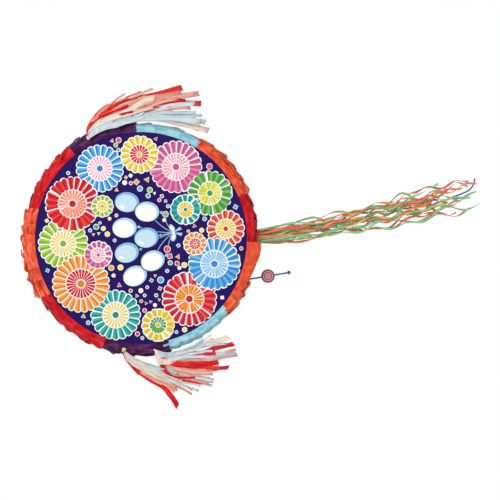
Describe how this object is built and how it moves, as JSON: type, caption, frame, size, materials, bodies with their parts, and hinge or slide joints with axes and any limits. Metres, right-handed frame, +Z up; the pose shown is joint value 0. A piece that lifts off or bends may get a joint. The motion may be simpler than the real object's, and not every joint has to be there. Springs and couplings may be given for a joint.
{
  "type": "pull-cord pinata",
  "caption": "Round card drum pinata dressed in crepe paper rows, with a trap door in its rim opened by a tagged cord, hanging ribbons, side tassels and a fill flap in its back.",
  "frame": {"origin": "middle of the hang hole in the hanger patch at the top of the drum", "axes": "+Z up along the hang hole, -Y out of the printed front, +X to the right as seen from the front"},
  "size_m": [0.5111, 0.1057, 0.768],
  "materials": {
    "board": "matte",
    "print_paper": "matte",
    "plain_indigo": "matte",
    "crepe_orange": "matte",
    "crepe_red": "matte",
    "crepe_purple": "matte",
    "crepe_blue": "matte",
    "cord_blue": "matte",
    "tag_card": "matte",
    "ribbon_green": "matte",
    "ribbon_lime": "matte",
    "ribbon_orange": "matte",
    "tissue_red": "matte",
    "tissue_peach": "matte",
    "tissue_blue": "matte",
    "tissue_cream": "matte"
  },
  "bodies": {
    "drum": {"front_panel": "board", "back_panel": "board", "band_upper": "board", "band_lower": "board", "splice_right": "board", "splice_left": "board", "hanger_patch": "board", "front_cover": "print_paper", "back_cover": "plain_indigo", "crepe_top_orange": "crepe_orange", "crepe_right_red": "crepe_red", "crepe_right_purple": "crepe_purple", "crepe_right_blue": "crepe_blue", "crepe_right_orange": "crepe_orange", "crepe_low_red": "crepe_red", "crepe_left_orange": "crepe_orange", "crepe_left_blue": "crepe_blue", "crepe_left_purple": "crepe_purple", "crepe_left_red": "crepe_red", "ribbon_knot": "ribbon_green", "ribbons_green": "ribbon_green", "ribbons_lime": "ribbon_lime", "ribbons_orange": "ribbon_orange", "streamer_cord": "cord_blue", "wrap_right": "tissue_cream", "tassel_right_red": "tissue_red", "tassel_right_peach": "tissue_peach", "tassel_right_blue": "tissue_blue", "tassel_right_cream": "tissue_cream", "wrap_left": "tissue_cream", "tassel_left_red": "tissue_red", "tassel_left_peach": "tissue_peach", "tassel_left_blue": "tissue_blue", "tassel_left_cream": "tissue_cream"},
    "door": {"trap_door": "board", "door_skin": "crepe_orange", "door_knot": "cord_blue"},
    "cord": {"pull_cord": "cord_blue", "tag_front": "tag_card", "tag_back": "tag_card", "end_knot": "cord_blue"},
    "flap": {"fill_flap": "board", "flap_cover": "plain_indigo"}
  },
  "joints": [
    {"name": "trap_door_fold", "type": "hinge", "parent": "drum", "child": "door", "pos_m": [-0.04736, 0, -0.35706], "axis": [0, -1, 0], "range_deg": [0, 85]},
    {"name": "cord_swing", "type": "hinge", "parent": "door", "child": "cord", "pos_m": [-0.09715, 0, -0.34037], "axis": [0, -1, 0], "range_deg": [-85, 0]},
    {"name": "fill_flap_fold", "type": "hinge", "parent": "drum", "child": "flap", "pos_m": [0, 0.0435, -0.1203], "axis": [1, 0, 0], "range_deg": [0, 95]}
  ],
  "couplings": [
    {"joint": "cord_swing", "follows": "trap_door_fold", "ratio": -1}
  ]
}
